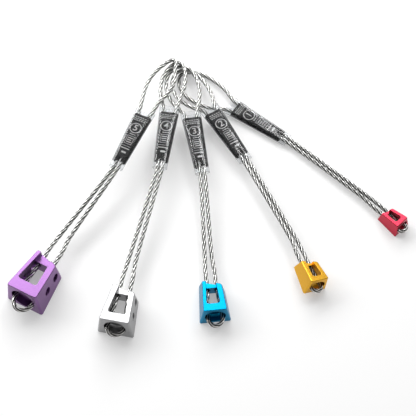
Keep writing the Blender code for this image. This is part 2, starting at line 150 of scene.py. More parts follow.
# Bars as station, offset across, length along and width across
PLAIN_BARS = (
    (-22.3, 0.0, 0.45, 13.0), (-3.9, -2.1, 0.8, 1.5), (-3.9, 0.3, 0.8, 2.3), (-3.9, 2.5, 0.8, 1.1),
    (-1.5, 0.0, 0.4, 7.6), (7.7, 0.0, 0.4, 7.6), (3.1, -3.6, 9.6, 0.4), (3.1, 3.6, 9.6, 0.4),
    (0.8, 0.0, 0.9, 5.2), (3.1, -0.4, 0.9, 4.4), (5.4, 0.2, 0.9, 4.8),
    (10.3, 0.0, 0.35, 8.4), (13.0, 0.0, 0.9, 8.8), (17.4, 0.5, 1.9, 4.6),
)
TICK_ROWS = (-24.3, -20.5)
TICK_SIZE = (0.85, 1.5)
TICK_SPACING = 2.5
TICK_COUNT = 5

# Finishes: two shades, the stops between which a pattern goes from one to the other, gloss as two
# roughnesses, relief as strength and depth, and noise as scale, detail and roughness
ANODISED = {
    "purple": ((0.185, 0.088, 0.235), (0.225, 0.114, 0.28)),
    "silver": ((0.28, 0.28, 0.285), (0.35, 0.35, 0.355)),
    "blue": ((0.00, 0.165, 0.31), (0.002, 0.205, 0.38)),
    "yellow": ((0.66, 0.345, 0.029), (0.77, 0.42, 0.042)),
    "red": ((0.46, 0.032, 0.06), (0.54, 0.042, 0.076)),
}
ANODISED_STOPS = (0.3, 0.7)
ANODISED_GLOSS = (0.26, 0.42)
MACHINING_STRETCH = (60.0, 2600.0, 2600.0)
MACHINING_LINES = (1.0, 3.0, 0.6)
BLASTED_GRAIN = (2400.0, 2.0, 0.6)
BLASTED_RELIEF = (0.12, 0.05 * MM)

# Scale of the wave pattern that shows about six wires round a strand
WIRE_BANDS = 1.885
WIRE_RELIEF = (0.4, 0.1 * MM)
# Steel shades, painted darker in the valleys between the wires, as painted shade
STEEL_SHADES = ((0.34, 0.34, 0.333), (0.88, 0.88, 0.86))
# Lighter steel for the bight: painted light that lifts it out of its shade
BIGHT_LIGHT_SHADES = ((0.6, 0.59, 0.57), (1.0, 0.985, 0.96))
STEEL_STOPS = (0.0, 0.45)
STEEL_GLOSS = (0.42, 0.26)
# Steel darkened deep in the grooves between the strands: partly painted shade and partly dirt
GROOVE_SHADE_AND_DIRT = ((0.1, 0.1, 0.1), (1.0, 1.0, 1.0))
GROOVE_STOPS = (0.86, 0.98)

CLEAR_TINT = (0.95, 0.96, 0.97, 1.0)
CLEAR_IOR = 1.45
CLEAR_WAVES = (90.0, 2.0, 0.5)
CLEAR_GLOSS = (0.07, 0.15)
CLEAR_RELIEF = (0.15, 0.3 * MM)

BLACK_SPECULAR = 0.15
BLACK_WAVES = (140.0, 3.0, 0.5)
BLACK_SHADES = ((0.006, 0.006, 0.007), (0.016, 0.016, 0.017))
BLACK_GLOSS = (0.3, 0.45)

INK_ROUGHNESS = 0.5
INK_SPECKS = (1500.0, 3.0, 0.5)
INK_SHADES = ((0.45, 0.45, 0.45), (0.82, 0.82, 0.81))
INK_STOPS = (0.25, 0.45)

FERRULE_GRAIN = (900.0, 3.0, 0.5)
FERRULE_SHADES = ((0.42, 0.41, 0.39), (0.62, 0.60, 0.56))
FERRULE_GLOSS = (0.35, 0.55)

# Sockets without names of their own: of a Math node, a Mix node's colours and a Mix Shader node
FIRST, SECOND = 0, 1
FIRST_COLOUR, SECOND_COLOUR, MIXED_COLOUR = 6, 7, 2
FIRST_SHADER, SECOND_SHADER = 1, 2

# Stage
FLOOR_HALF = 3.0
FLOOR_COLOUR = (0.96, 0.96, 0.96, 1.0)
FLOOR_ROUGHNESS = 0.9
FLOOR_LIFT = 0.35
CAMERA_PLACE = (-0.002617, -0.577244, 1.063953)
CAMERA_TILT = math.radians(28.0)
CAMERA_LENS = 108.17
CAMERA_SENSOR = 36.0
WORLD_FRONT = 0.22
WORLD_BACK = 0.4
WORLD_BLEND = 0.4
# Lamps as bearing from straight behind, rise, distance, size and level
LAMPS = ((-31.0, 39.0, 1.4, (2.6, 0.64), 6.6), (36.0, 54.0, 1.6, (0.7, 0.5), 5.0))


@dataclass
class Nut:
    """One nut in millimetres and degrees: its head, its places and the route of its rope.

    Pairs go from the head's narrow end to its wide end, but the crossbar's are length and height.
    """
    name: str
    number: str
    length: float
    back: tuple
    front: tuple
    thick: tuple
    cable_height: float
    crossbar: tuple
    wide_wall: float
    window: tuple
    window_shift: float
    pocket_depth: float
    side_hole: float
    leg_spacing: tuple
    bight_width: float
    head_place: tuple
    head_turn: float
    head_roll: float
    sleeve_place: tuple
    sleeve_turn: float
    route: tuple


NUTS = (
    Nut(
        name="red", number="1", length=22.8, back=(15.3, 19.8), front=(11.4, 14.8),
        thick=(12.0, 16.0), cable_height=5.4, crossbar=(4.2, 8.8), wide_wall=6.2,
        window=(5.8, 7.6), window_shift=0.0, pocket_depth=4.6, side_hole=0.0,
        leg_spacing=(5.6, 8.0), bight_width=8.8,
        head_place=(166.33, -19.96, 5.4), head_turn=-45.1, head_roll=0.0,
        sleeve_place=(47.67, 82.66, 4.15), sleeve_turn=-35.9,
        route=(
            (51.7, 77.1, 4.2), (47.5, 80.2, 4.2), (43.2, 83.3, 4.2), (29.5, 90.5, 4.2),
            (15.7, 97.8, 4.2), (-0.8, 99.8, 4.1), (-13.9, 105.9, 3.5), (-25.4, 115.5, 2.6),
            (-31.8, 128.2, 2.3), (-30.3, 141.1, 2.3), (-18.9, 144.1, 2.3), (-7.5, 140.6, 2.5),
            (4.0, 132.6, 3.3), (14.5, 121.7, 4.1), (23.3, 108.3, 4.2), (34.5, 97.5, 4.2),
            (45.7, 86.7, 4.2), (50.1, 83.5, 4.2), (54.6, 80.3, 4.2), (63.5, 73.8, 4.2),
            (77.0, 64.0, 4.2), (147.3, 2.0, 5.4), (159.1, -8.8, 5.4), (161.3, -10.9, 5.4),
            (168.3, -18.0, 5.4), (180.5, -28.7, 5.4), (182.0, -30.0, 5.4), (184.2, -31.7, 5.4),
            (185.4, -33.4, 5.4), (185.6, -35.4, 5.4), (185.0, -37.3, 5.4), (183.6, -38.7, 5.4),
            (181.7, -39.3, 5.4), (179.7, -39.0, 5.4), (178.0, -37.9, 5.4), (176.3, -35.7, 5.4),
            (175.0, -34.2, 5.4), (164.3, -21.9, 5.4), (157.3, -14.9, 5.4), (155.2, -12.7, 5.4),
            (144.4, -0.9, 5.4), (74.6, 60.6, 4.2), (61.0, 70.4, 4.2), (52.5, 76.6, 4.2),
        ),
    ),
    Nut(
        name="yellow", number="2", length=26.6, back=(19.2, 24.0), front=(14.7, 18.3),
        thick=(14.6, 18.8), cable_height=6.4, crossbar=(4.8, 10.2), wide_wall=7.2,
        window=(7.4, 9.4), window_shift=0.0, pocket_depth=5.4, side_hole=0.0,
        leg_spacing=(6.6, 9.4), bight_width=10.2,
        head_place=(88.18, -75.76, 9.63), head_turn=-68.6, head_roll=-17.0,
        sleeve_place=(16.32, 65.24, 10.6), sleeve_turn=-59.3,
        route=(
            (17.8, 58.6, 10.6), (15.2, 63.1, 10.6), (12.5, 67.6, 10.6), (2.7, 79.7, 10.6),
            (-7.0, 91.8, 10.6), (-19.1, 97.0, 10.1), (-29.4, 105.0, 8.7), (-36.8, 115.8, 7.2),
            (-39.0, 128.3, 6.5), (-33.6, 141.4, 6.5), (-22.1, 143.2, 6.5), (-12.6, 136.9, 6.5),
            (-4.5, 125.4, 7.7), (1.3, 111.5, 9.8), (4.2, 98.4, 10.6), (10.1, 84.1, 10.6),
            (16.1, 69.8, 10.6), (18.9, 65.0, 10.6), (21.7, 60.3, 10.6), (27.3, 50.8, 10.6),
            (35.9, 36.4, 10.6), (79.8, -47.9, 8.9), (86.4, -62.5, 8.7), (87.5, -65.3, 8.7),
            (91.1, -74.6, 8.7), (99.3, -92.0, 8.3), (100.1, -93.9, 8.3), (101.6, -96.7, 8.1),
            (102.0, -99.0, 8.3), (101.4, -101.2, 8.7), (99.9, -102.8, 9.3), (97.9, -103.6, 10.0),
            (95.7, -103.4, 10.6), (93.8, -102.2, 11.0), (92.6, -100.3, 11.1), (91.7, -97.1, 11.0),
            (91.1, -95.2, 11.0), (85.2, -76.9, 10.6), (81.6, -67.6, 10.6), (80.5, -64.8, 10.6),
            (75.4, -49.6, 10.3), (32.3, 34.3, 10.6), (23.7, 48.7, 10.6), (18.3, 57.7, 10.6),
        ),
    ),
    Nut(
        name="blue", number="3", length=35.2, back=(23.4, 29.4), front=(17.2, 21.8),
        thick=(16.4, 24.6), cable_height=7.6, crossbar=(6.0, 11.6), wide_wall=9.7,
        window=(9.8, 12.6), window_shift=-0.8, pocket_depth=6.8, side_hole=0.0,
        leg_spacing=(8.6, 12.8), bight_width=14.0,
        head_place=(0.54, -95.62, 7.6), head_turn=-84.0, head_roll=0.0,
        sleeve_place=(-13.89, 52.63, 14.8), sleeve_turn=-79.9,
        route=(
            (-14.8, 45.9, 14.8), (-15.7, 51.0, 14.8), (-16.7, 56.2, 14.8), (-21.5, 70.9, 14.8),
            (-26.4, 85.7, 14.8), (-36.4, 97.2, 14.3), (-42.6, 109.5, 12.7), (-44.7, 122.3, 11.2),
            (-42.8, 134.7, 10.7), (-33.5, 144.9, 10.7), (-22.0, 142.3, 10.7), (-14.7, 132.1, 10.7),
            (-11.5, 119.4, 11.6), (-11.1, 104.4, 13.7), (-13.6, 88.0, 14.8), (-13.1, 72.5, 14.8),
            (-12.5, 56.9, 14.8), (-11.6, 51.5, 14.8), (-10.6, 46.1, 14.8), (-8.7, 35.3, 14.8),
            (-5.7, 18.8, 14.8), (0.7, -66.5, 7.6), (3.5, -82.2, 7.6), (3.8, -85.2, 7.6),
            (4.8, -95.2, 7.6), (9.5, -121.2, 7.6), (9.9, -123.2, 7.6), (10.9, -127.2, 7.6),
            (10.6, -131.3, 7.6), (9.0, -134.7, 7.6), (6.4, -136.8, 7.6), (3.3, -137.1, 7.6),
            (0.4, -135.6, 7.6), (-1.9, -132.6, 7.6), (-3.0, -128.7, 7.6), (-2.9, -124.5, 7.6),
            (-2.9, -122.5, 7.6), (-3.7, -96.1, 7.6), (-4.8, -86.1, 7.6), (-5.1, -83.1, 7.6),
            (-5.7, -67.1, 7.6), (-9.9, 18.0, 14.8), (-12.8, 34.5, 14.8), (-14.6, 44.9, 14.8),
        ),
    ),
    Nut(
        name="silver", number="4", length=41.4, back=(26.8, 34.5), front=(21.3, 27.7),
        thick=(18.6, 29.2), cable_height=10.2, crossbar=(7.0, 14.2), wide_wall=10.8,
        window=(11.6, 16.6), window_shift=0.0, pocket_depth=8.0, side_hole=7.4,
        leg_spacing=(9.6, 13.8), bight_width=15.0,
        head_place=(-79.38, -102.44, 10.2), head_turn=-101.0, head_roll=0.0,
        sleeve_place=(-44.76, 56.03, 19.0), sleeve_turn=-97.3,
        route=(
            (-47.7, 49.8, 19.0), (-47.0, 55.1, 19.0), (-46.3, 60.3, 19.0), (-46.6, 75.8, 19.0),
            (-46.8, 91.3, 19.0), (-49.7, 105.1, 18.1), (-49.8, 118.4, 16.4), (-47.3, 131.2, 15.1),
            (-40.6, 142.0, 14.9), (-32.8, 147.5, 14.9), (-27.0, 141.2, 14.9), (-25.4, 129.6, 14.9),
            (-26.3, 117.5, 15.2), (-29.8, 104.0, 17.3), (-33.9, 89.7, 19.0), (-38.0, 74.7, 19.0),
            (-42.2, 59.7, 19.0), (-42.9, 54.3, 19.0), (-43.6, 48.8, 19.0), (-45.0, 37.9, 19.0),
            (-47.1, 21.3, 19.0), (-70.4, -74.7, 10.2), (-72.2, -90.6, 10.2), (-72.8, -93.5, 10.2),
            (-74.7, -103.4, 10.2), (-78.7, -134.6, 10.2), (-79.0, -136.5, 10.2),
            (-79.3, -141.4, 10.2), (-80.7, -144.5, 10.2), (-83.2, -146.7, 10.2),
            (-86.4, -147.5, 10.2), (-89.7, -146.9, 10.2), (-92.4, -144.9, 10.2),
            (-93.9, -141.9, 10.2), (-94.0, -138.5, 10.2), (-92.5, -133.9, 10.2),
            (-92.0, -132.0, 10.2), (-84.1, -101.5, 10.2), (-82.2, -91.7, 10.2),
            (-81.6, -88.8, 10.2), (-77.3, -73.3, 10.2), (-51.3, 21.8, 19.0), (-49.1, 38.4, 19.0),
            (-47.8, 48.9, 19.0),
        ),
    ),
    Nut(
        name="purple", number="5", length=47.0, back=(29.9, 38.4), front=(23.4, 31.1),
        thick=(22.8, 32.3), cable_height=12.0, crossbar=(8.4, 17.0), wide_wall=13.5,
        window=(14.6, 19.6), window_shift=-1.4, pocket_depth=9.2, side_hole=8.0,
        leg_spacing=(12.4, 17.4), bight_width=19.0,
        head_place=(-150.55, -73.58, 12.0), head_turn=-117.6, head_roll=0.0,
        sleeve_place=(-77.57, 51.73, 23.2), sleeve_turn=-113.3,
        route=(
            (-82.1, 46.6, 23.2), (-80.0, 51.4, 23.2), (-77.9, 56.2, 23.2), (-73.9, 71.2, 23.2),
            (-69.8, 86.2, 23.2), (-66.7, 102.7, 23.2), (-63.2, 116.8, 22.5), (-57.2, 129.5, 20.7),
            (-48.4, 140.6, 19.3), (-36.8, 147.2, 19.1), (-35.7, 134.5, 19.1), (-36.8, 119.0, 19.4),
            (-43.1, 105.3, 21.8), (-51.3, 93.8, 23.2), (-57.9, 81.1, 23.2), (-66.0, 67.8, 23.2),
            (-74.1, 54.6, 23.2), (-76.2, 49.5, 23.2), (-78.4, 44.5, 23.2), (-82.8, 34.4, 23.2),
            (-89.4, 19.0, 23.2), (-133.0, -50.0, 12.0), (-139.0, -64.9, 12.0),
            (-140.4, -67.6, 12.0), (-145.1, -76.4, 12.0), (-159.5, -109.3, 12.0),
            (-160.4, -111.1, 12.0), (-162.2, -116.4, 12.0), (-165.5, -120.7, 12.0),
            (-169.9, -123.3, 12.0), (-174.3, -123.6, 12.0), (-178.1, -121.7, 12.0),
            (-180.4, -117.8, 12.0), (-180.7, -112.8, 12.0), (-179.0, -107.6, 12.0),
            (-175.8, -103.0, 12.0), (-174.7, -101.3, 12.0), (-156.0, -70.7, 12.0),
            (-151.4, -61.8, 12.0), (-150.0, -59.2, 12.0), (-141.2, -45.8, 12.0),
            (-93.2, 20.6, 23.2), (-86.6, 36.0, 23.2), (-82.5, 45.7, 23.2),
        ),
    ),
)


# Handling of pieces

def clear_selection():
    """Deselect every object."""
    bpy.ops.object.select_all(action="DESELECT")


def pick(piece):
    """Make the piece the only one selected, and the active one."""
    clear_selection()
    piece.select_set(True)
    bpy.context.view_layer.objects.active = piece


def take(name):
    """Name the object that was just added."""
    piece = bpy.context.object
    piece.name = piece.data.name = name
    return piece


def start_editing():
    """Go into edit mode with the active piece."""
    bpy.ops.object.mode_set(mode="EDIT")


def finish_editing():
    """Go back to object mode."""
    bpy.ops.object.mode_set(mode="OBJECT")


def choose(piece, kind, test):
    """Select the vertices, edges or faces that pass the test, and stay in edit mode."""
    start_editing()
    bpy.ops.mesh.select_mode(type=kind)
    bpy.ops.mesh.select_all(action="DESELECT")
    finish_editing()
    mesh = piece.data
    items = {"VERT": mesh.vertices, "EDGE": mesh.edges, "FACE": mesh.polygons}[kind]
    for item in items:
        item.select = test(item)
    start_editing()


def edge_way(piece, edge):
    """The edge's direction, of length one."""
    one, other = (piece.data.vertices[index].co for index in edge.vertices)
    return (other - one).normalized()


def apply_place(piece):
    """Put the piece's place into its mesh."""
    pick(piece)
    bpy.ops.object.transform_apply(location=True, rotation=True, scale=True)


def add_modifier(piece, name, kind, **settings):
    """Add a modifier, set it and apply it."""
    modifier = piece.modifiers.new(name, kind)
    for key, value in settings.items():
        setattr(modifier, key, value)
    bpy.context.view_layer.objects.active = piece
    bpy.ops.object.modifier_apply(modifier=name)


def smooth(piece, angle):
    """Shade the piece smooth, apart from edges sharper than the angle."""
    pick(piece)
    bpy.ops.object.shade_smooth_by_angle(angle=angle)


def round_off(radius, segments, affect="EDGES"):
    """Round off what is selected, in edit mode."""
    bpy.ops.mesh.bevel(offset=radius, segments=segments, profile=ROUND_PROFILE, affect=affect)


def turn_faces_out():
    """Merge doubles and turn all faces outwards, in edit mode."""
    bpy.ops.mesh.select_all(action="SELECT")
    bpy.ops.mesh.remove_doubles(threshold=MERGE_DISTANCE)
    bpy.ops.mesh.normals_make_consistent(inside=False)


def lay_in_place(piece, place, turn, roll=0.0):
    """Move a piece from its own frame to where its nut lies."""
    spot = Matrix.Translation(Vector(place) * MM)
    heading = Matrix.Rotation(math.radians(turn), 4, "Z")
    piece.matrix_world = spot @ heading @ Matrix.Rotation(math.radians(roll), 4, "X")
    apply_place(piece)


def coat(piece, material):
    """Give a piece its one material."""
    piece.data.materials.clear()
    piece.data.materials.append(material)


def give(piece, body, node, material):
    """Hand a finished piece to its body, in place of its CAD node."""
    coat(piece, material)
    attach(piece, body)
    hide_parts(node)


# Wire rope

def draw_route(nut):
    """The rope's middle line as a smooth curve through the points of its route."""
    clear_selection()
    bpy.ops.curve.primitive_bezier_curve_add(location=ORIGIN)
    route = take("route_" + nut.name)
    route.data.resolution_u = ROUTE_RESOLUTION
    route.data.twist_mode = "MINIMUM"
    points = [Vector(point) * MM for point in nut.route]
    run = [points[0] * 2 - points[1]] + points + [points[-1] * 2 - points[-2]]
    spline = route.data.splines[0]
    spline.bezier_points.add(len(points) - len(spline.bezier_points))
    for knot, before, point, after in zip(spline.bezier_points, run, run[1:], run[2:]):
        heading = (after - before).normalized()
        knot.handle_left_type = knot.handle_right_type = "FREE"
        knot.co = point
        knot.handle_left = point - heading * (point - before).length / 3
        knot.handle_right = point + heading * (after - point).length / 3
    return route


def bight_span(nut, length):
    """Where the bight starts and ends along a rope of this length."""
    points = [Vector(point) for point in nut.route]
    steps = [(after - before).length for before, after in zip(points, points[1:])]
    start, end = (sum(steps[:knot]) / sum(steps) * length for knot in BIGHT_KNOTS)
    return start, end


def mark_wires(rope, lay, bight):
    """A UV map that runs along the rope in U and across the wires of each strand in V.

    Two attributes go with it: how far out on the rope a point lies, and how much painted light the
    bight gets there.
    """
    mesh = rope.data
    places = np.empty(len(mesh.vertices) * 3)
    mesh.vertices.foreach_get("co", places)
    along, across, up = places.reshape(-1, 3).T
    turns = along / lay
    twist = math.tau * turns
    bearing = np.arctan2(up, across) - twist
    pitch = math.tau / STRAND_COUNT
    strand = np.round(bearing / pitch) * pitch + twist
    out = across * np.cos(strand) + up * np.sin(strand) - STRAND_CENTRE
    side = up * np.cos(strand) - across * np.sin(strand)
    wires = np.arctan2(side, out) / math.tau + WIRE_TURNS * turns
    corners = np.empty(len(mesh.loops), dtype=np.int64)
    mesh.loops.foreach_get("vertex_index", corners)
    layer = mesh.uv_layers.new(name="wires")
    layer.data.foreach_set("uv", np.column_stack((turns, wires))[corners].ravel())
    crown = mesh.attributes.new("crown", "FLOAT", "POINT")
    crown.data.foreach_set("value", np.hypot(across, up) / ROPE_RADIUS)
    start, end = bight
    # How much painted light the bight gets, fading in and out at its ends
    bight_light = mesh.attributes.new("bight_light", "FLOAT", "POINT")
    stations = (start - BIGHT_LIGHT_FADE, start, end, end + BIGHT_LIGHT_FADE)
    bight_light.data.foreach_set("value", np.interp(along, stations, (0.0, 1.0, 1.0, 0.0)))


def lay_rope(nut):
    """Strands and a core, laid along X for the whole length and then bent along the route."""
    route = draw_route(nut)
    length = route.data.splines[0].calc_length()
    turns = round(length / ROPE_LAY)
    lay = length / turns
    clear_selection()
    bpy.ops.mesh.primitive_circle_add(
        vertices=STRAND_SIDES, radius=STRAND_RADIUS, location=(0.0, STRAND_CENTRE, 0.0),
        rotation=ALONG_X,
    )
    rope = take("rope_" + nut.name)
    apply_place(rope)
    start_editing()
    bpy.ops.mesh.select_all(action="SELECT")
    bpy.ops.mesh.spin(
        steps=STRAND_COUNT - 1, dupli=True, angle=math.tau * (STRAND_COUNT - 1) / STRAND_COUNT,
        center=ORIGIN, axis=(1.0, 0.0, 0.0),
    )
    bpy.ops.mesh.primitive_circle_add(
        vertices=STRAND_SIDES, radius=CORE_RADIUS, location=ORIGIN, rotation=ALONG_X,
    )
    finish_editing()
    add_modifier(
        rope, "lay", "SCREW", axis="X", angle=math.tau, screw_offset=lay, iterations=turns,
        steps=LAY_STEPS, render_steps=LAY_STEPS, use_smooth_shade=True,
    )
    start_editing()
    turn_faces_out()
    bpy.ops.mesh.select_all(action="DESELECT")
    bpy.ops.mesh.select_mode(type="EDGE")
    bpy.ops.mesh.select_non_manifold(extend=False, use_wire=False, use_multi_face=False)
    bpy.ops.mesh.fill_holes(sides=0)
    finish_editing()
    mark_wires(rope, lay, bight_span(nut, length))
    add_modifier(rope, "bend", "CURVE", object=route, deform_axis="POS_X")
    bpy.data.objects.remove(route)
    smooth(rope, ROPE_SMOOTH_ANGLE)
    return rope


# Heads

def taper(nut, ends, x):
    """A width or thickness of the head at X, from its values at the narrow and the wide end."""
    return ends[0] + (ends[1] - ends[0]) * x / nut.length


def shape_wedge(nut):
    """The head before it is cut: a wedge with a slanted narrow end and rounded edges."""
    clear_selection()
    bpy.ops.mesh.primitive_cube_add(size=FRESH_SIZE, location=ORIGIN)
    head = take("nut_" + nut.name)
    slant = math.tan(HEAD_SLANT)
    start = -slant * nut.back[0]
    back = -nut.cable_height
    for end, x_back, x_front in ((-1, start, start), (1, nut.length, nut.length - HEAD_LEAN)):
        front = back + taper(nut, nut.thick, x_front)
        for face, x, widths, z in ((-1, x_back, nut.back, back), (1, x_front, nut.front, front)):
            choose(head, "VERT", lambda v: v.co.x * end > 0 and v.co.z * face > 0)
            half = taper(nut, widths, x) / 2 * MM
            bpy.ops.transform.resize(value=(1.0, half, 1.0), center_override=ORIGIN)
            bpy.ops.transform.translate(value=(x * MM - end, 0.0, z * MM - face))
    bpy.ops.mesh.select_all(action="SELECT")
    bpy.ops.mesh.bisect(
        plane_co=(0.0, 0.0, back * MM), plane_no=(-1.0, slant, HEAD_LEAN / nut.thick[0]),
        use_fill=True, clear_outer=True,
    )
    turn_faces_out()
    finish_editing()
    choose(head, "EDGE", lambda edge: abs(edge_way(head, edge).z) > STEEP)
    round_off(nut.back[1] * CORNER_SHARE * MM, CORNER_SEGMENTS)
    finish_editing()
    choose(head, "EDGE", lambda edge: abs(edge_way(head, edge).z) < SHALLOW)
    round_off(EDGE_RADIUS, EDGE_SEGMENTS)
    finish_editing()
    return head


def window_cutter(nut):
    """The window through the head, and the channel that leaves the crossbar lower than the arms."""
    clear_selection()
    bpy.ops.mesh.primitive_plane_add(size=FRESH_SIZE, location=ORIGIN)
    cutter = take("cut_window_" + nut.name)
    bar_length, bar_height = nut.crossbar
    narrow, wide = nut.window
    wide_end = nut.length - nut.wide_wall
    low = -nut.cable_height - CUT_OVERRUN
    high = nut.thick[1] - nut.cable_height + CUT_OVERRUN
    for end, x, width in ((-1, bar_length, narrow), (1, wide_end, wide)):
        choose(cutter, "VERT", lambda v: v.co.x * end > CORNER_PICK)
        bpy.ops.transform.resize(value=(1.0, width / 2 * MM, 1.0), center_override=ORIGIN)
        bpy.ops.transform.translate(value=(x * MM - end, nut.window_shift * MM, low * MM))
    finish_editing()
    choose(cutter, "VERT", lambda v: v.co.x > (wide_end - PICK_MARGIN) * MM)
    corner = min(WINDOW_CORNER, wide * WINDOW_CORNER_SHARE * MM)
    round_off(corner, WINDOW_CORNER_SEGMENTS, "VERTICES")
    bpy.ops.mesh.select_all(action="SELECT")
    bpy.ops.mesh.extrude_region_move(
        TRANSFORM_OT_translate={"value": (0.0, 0.0, (high - low) * MM)},
    )
    bpy.ops.mesh.select_all(action="SELECT")
    bar_top = (bar_height - nut.cable_height) * MM
    rise = (nut.thick[1] - nut.thick[0]) / nut.length
    bpy.ops.mesh.bisect(
        plane_co=(bar_length / 2 * MM, 0.0, bar_top),
        plane_no=Vector((-rise, 0.0, 1.0)).normalized(),
    )
    turn_faces_out()
    finish_editing()
    above_bar = bar_top + PICK_MARGIN * MM
    choose(cutter, "FACE", lambda face: face.normal.x < -FACING and face.center.z > above_bar)
    reach = bar_length + CUT_OVERRUN
    slope = (wide - narrow) / (wide_end - bar_length)
    bpy.ops.mesh.extrude_region_move(
        TRANSFORM_OT_translate={"value": (-reach * MM, 0.0, -reach * rise * MM)},
    )
    bpy.ops.transform.resize(
        value=(1.0, 1.0 - slope * reach / narrow, 1.0),
        center_override=(0.0, nut.window_shift * MM, 0.0),
    )
    turn_faces_out()
    finish_editing()
    return cutter


def pocket_cutter(nut):
    """The arched pocket for the bight, sunk into the wide end with a rounded floor."""
    low = POCKET_SILL - nut.cable_height
    high = nut.thick[1] - POCKET_ROOF_GAP - nut.cable_height
    half_width = nut.bight_width / 2 + POCKET_SIDE_ROOM
    floor = nut.length - nut.pocket_depth
    depth = nut.pocket_depth + CUT_OVERRUN
    clear_selection()
    bpy.ops.mesh.primitive_cylinder_add(
        vertices=POCKET_SIDES, radius=1.0, depth=depth * MM, rotation=ALONG_X,
        location=((floor + depth / 2) * MM, 0.0, (low + high) / 2 * MM),
        scale=((high - low) / 2 * MM, half_width * MM, 1.0),
    )
    cutter = take("cut_pocket_" + nut.name)
    apply_place(cutter)
    choose(cutter, "FACE", lambda face: face.normal.x < -FACING)
    round_off(POCKET_FLOOR_RADIUS, POCKET_FLOOR_SEGMENTS)
    turn_faces_out()
    finish_editing()
    return cutter


def rod_cutter(name, radius, length, middle, rotation):
    """A straight round cutter with its middle at a point of the head."""
    clear_selection()
    bpy.ops.mesh.primitive_cylinder_add(
        vertices=BORE_SIDES, radius=radius, depth=length, location=middle, rotation=rotation,
    )
    cutter = take(name)
    apply_place(cutter)
    return cutter


def side_hole_cutters(nut):
    """Two round holes through both arms."""
    start = nut.crossbar[0]
    length = nut.length - nut.wide_wall - start
    cutters = []
    for index, share in enumerate(SIDE_HOLE_STATIONS):
        station = start + length * share
        up = taper(nut, nut.thick, station) / 2 - nut.cable_height
        cutters.append(rod_cutter(
            f"cut_side_{nut.name}_{index}", nut.side_hole / 2 * MM, nut.back[1] * 2 * MM,
            (station * MM, 0.0, up * MM), ALONG_Y,
        ))
    return cutters


def bore_cutters(nut):
    """The two bores that the legs of the rope run through, spreading towards the wide end."""
    start, end = -CUT_OVERRUN, nut.length - nut.pocket_depth / 2
    narrow, wide = (spacing / 2 for spacing in nut.leg_spacing)
    spread = (wide - narrow) / (nut.length - nut.pocket_depth)
    middle = (start + end) / 2
    cutters = []
    for index, side in enumerate((-1, 1)):
        cutter = rod_cutter(
            f"cut_bore_{nut.name}_{index}", BORE_RADIUS, (end - start) * MM, ORIGIN, ALONG_X,
        )
        cutter.scale = (1.0, BORE_STRETCH, 1.0)
        cutter.rotation_euler = (0.0, 0.0, side * math.atan(spread))
        cutter.location = (middle * MM, side * (narrow + spread * middle) * MM, 0.0)
        apply_place(cutter)
        cutters.append(cutter)
    return cutters


def break_rims(head):
    """Take the sharp rims off everything that was cut."""
    bpy.context.view_layer.objects.active = head
    start_editing()
    bpy.ops.mesh.select_mode(type="EDGE")
    bpy.ops.mesh.select_all(action="DESELECT")
    shape = bmesh.from_edit_mesh(head.data)
    for edge in shape.edges:
        edge.select = edge.is_manifold and edge.calc_face_angle_signed() > RIM_ANGLE
    bmesh.update_edit_mesh(head.data)
    round_off(RIM_RADIUS, RIM_SEGMENTS)
    finish_editing()


def cut_head(nut):
    """A head with its window, side holes, pocket and bores, with broken rims."""
    head = shape_wedge(nut)
    cutters = [window_cutter(nut)]
    if nut.side_hole:
        cutters += side_hole_cutters(nut)
    cutters += [pocket_cutter(nut)] + bore_cutters(nut)
    for cutter in cutters:
        add_modifier(
            head, cutter.name, "BOOLEAN", object=cutter, operation="DIFFERENCE", solver="EXACT",
        )
        bpy.data.objects.remove(cutter)
    break_rims(head)
    smooth(head, HEAD_SMOOTH_ANGLE)
    add_modifier(head, "even", "WEIGHTED_NORMAL", keep_sharp=True)
    lay_in_place(head, nut.head_place, nut.head_turn, nut.head_roll)
    return head


# Label and clear sleeve

def ease(value):
    """A soft step from 0 to 1."""
    value = min(max(value, 0.0), 1.0)
    return value * value * (3.0 - 2.0 * value)


def between(stops, share):
    """A value between three stops, at the top, the middle and the bottom of the sleeve."""
    top, middle, bottom = stops
    if share < 0.5:
        return top + (middle - top) * ease(share * 2)
    return middle + (bottom - middle) * ease(share * 2 - 1)


def film_point(station, angle, depth):
    """A point of the film's section, drawn tight over what it holds: flat, with thin edges."""
    share = (station + SLEEVE_HALF_LENGTH) / (2 * SLEEVE_HALF_LENGTH)
    half_width = SLEEVE_HALF_WIDTHS[0] + (SLEEVE_HALF_WIDTHS[1] - SLEEVE_HALF_WIDTHS[0]) * share
    across = half_width * math.cos(angle)
    reach = abs(across)
    high, flat, edge = (between(stops, share) for stops in (FILM_HEIGHT, FILM_FLAT, FILM_EDGE))
    shoulder = ease((reach - flat) / (half_width - flat))
    height = high + (edge - high) * shoulder
    if across > 0.0:
        height -= FILM_CROWN * min(reach / flat, 1.0) ** 2 * (1 - shoulder)
    near_top = ease(1 - share / VALLEY_SHARE)
    near_bottom = ease(1 - (1 - share) / VALLEY_SHARE)
    height -= TOP_VALLEY * near_top * ease(1 - reach / TOP_VALLEY_HALF)
    height -= BOTTOM_VALLEY * near_bottom * ease(1 - reach / BOTTOM_VALLEY_HALF)
    lip = half_width - reach
    if lip < edge:
        height *= math.sqrt(max(1 - (1 - lip / edge) ** 2, 0.0))
    scale = (half_width - depth) / half_width
    height = max(height - depth, 0.0) if math.sin(angle) >= 0 else min(depth - height, 0.0)
    return across * scale, height


